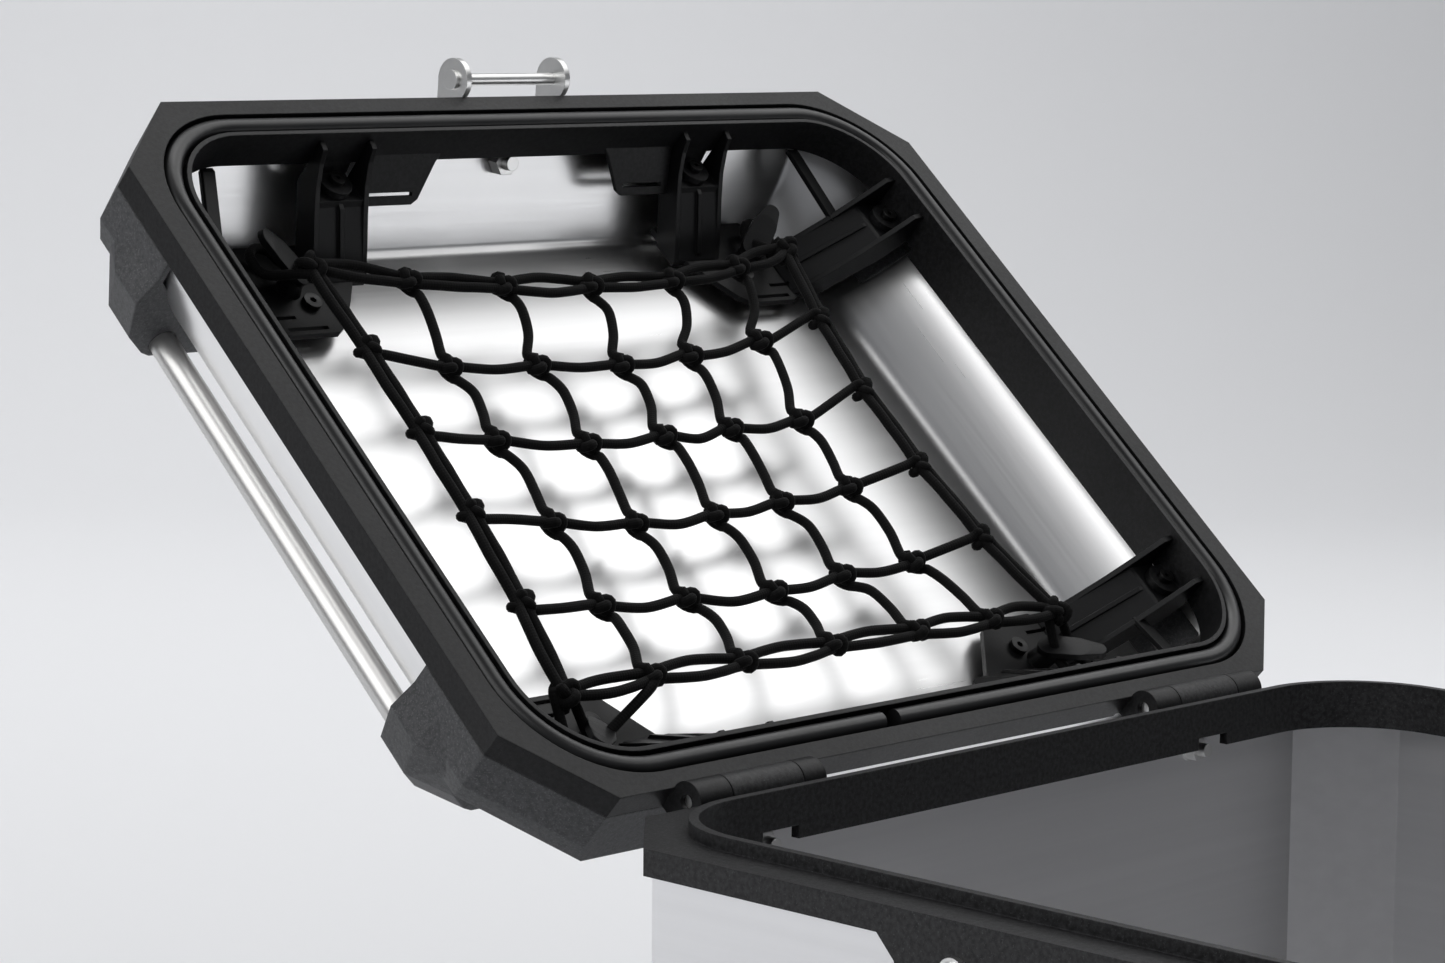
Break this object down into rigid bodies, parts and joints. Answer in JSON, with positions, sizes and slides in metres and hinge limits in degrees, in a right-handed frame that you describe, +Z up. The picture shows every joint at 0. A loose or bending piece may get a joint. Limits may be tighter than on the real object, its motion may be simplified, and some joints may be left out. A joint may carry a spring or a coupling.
{
  "type": "motorcycle top case",
  "caption": "Hinged aluminium motorcycle top case with plastic rims and corner caps, side rails, lid cargo net and a draw latch.",
  "frame": {"origin": "centre of the base bolt pattern, on the surface the case stands on", "axes": "+Z up, -Y towards the latch side, +Y towards the hinges, +X to the right seen from the latch side"},
  "size_m": [0.4172, 0.6641, 0.4924],
  "materials": {
    "brushed_aluminium": "fine brushed",
    "black_plastic": "fine grained, glass filled",
    "cap_plastic": "grained",
    "seal_rubber": "satin",
    "cord_fabric": "woven sheath",
    "black_screw": "black oxide",
    "stainless_tube": "ground lengthwise",
    "stainless_steel": "satin"
  },
  "bodies": {
    "box": {"box_shell": "brushed_aluminium", "box_rim": "black_plastic", "base_plate": "black_plastic", "base_cap_fl": "cap_plastic", "base_cap_fr": "cap_plastic", "base_cap_rl": "cap_plastic", "base_cap_rr": "cap_plastic", "base_cap_rivets": "stainless_steel", "rim_bolts": "stainless_steel", "rim_nuts": "stainless_steel", "side_eyelets": "stainless_steel", "hinge_pin_left": "stainless_steel", "hinge_pin_right": "stainless_steel", "latch_base": "black_plastic", "latch_screws": "stainless_steel", "lever_pivots": "stainless_steel"},
    "lid": {"lid_frame": "black_plastic", "lid_shell": "brushed_aluminium", "lid_seal": "seal_rubber", "lid_cap_fl": "cap_plastic", "lid_cap_fr": "cap_plastic", "lid_cap_rl": "cap_plastic", "lid_cap_rr": "cap_plastic", "rail_left": "stainless_tube", "rail_right": "stainless_tube", "bracket_fl": "black_plastic", "bracket_fr": "black_plastic", "bracket_rl": "black_plastic", "bracket_rr": "black_plastic", "bracket_screws": "black_screw", "cap_screws": "black_screw", "striker": "stainless_steel", "striker_pin": "stainless_steel", "striker_bolt": "stainless_steel", "striker_nut": "stainless_steel", "cargo_net": "cord_fabric"},
    "lever": {"latch_lever": "black_plastic", "hook_pin": "stainless_steel"},
    "hook": {"latch_hook": "stainless_steel"},
    "lock": {"lock_cylinder": "stainless_steel"}
  },
  "joints": [
    {"name": "lid_hinge", "type": "hinge", "parent": "box", "child": "lid", "pos_m": [0, 0.1687, 0.2552], "axis": [1, 0, 0], "range_deg": [0, 137.8]},
    {"name": "lever_swing", "type": "hinge", "parent": "box", "child": "lever", "pos_m": [0, -0.16825, 0.222], "axis": [1, 0, 0], "range_deg": [0, 95]},
    {"name": "hook_swing", "type": "hinge", "parent": "lever", "child": "hook", "pos_m": [0, -0.17917, 0.22105], "axis": [1, 0, 0], "range_deg": [-116, 0]},
    {"name": "lock_turn", "type": "hinge", "parent": "lever", "child": "lock", "pos_m": [0, -0.20888, 0.21652], "axis": [0, -0.0872, -0.9962], "range_deg": [0, 90]}
  ],
  "couplings": [
    {"joint": "hook_swing", "follows": "lever_swing", "ratio": -1.2105}
  ]
}
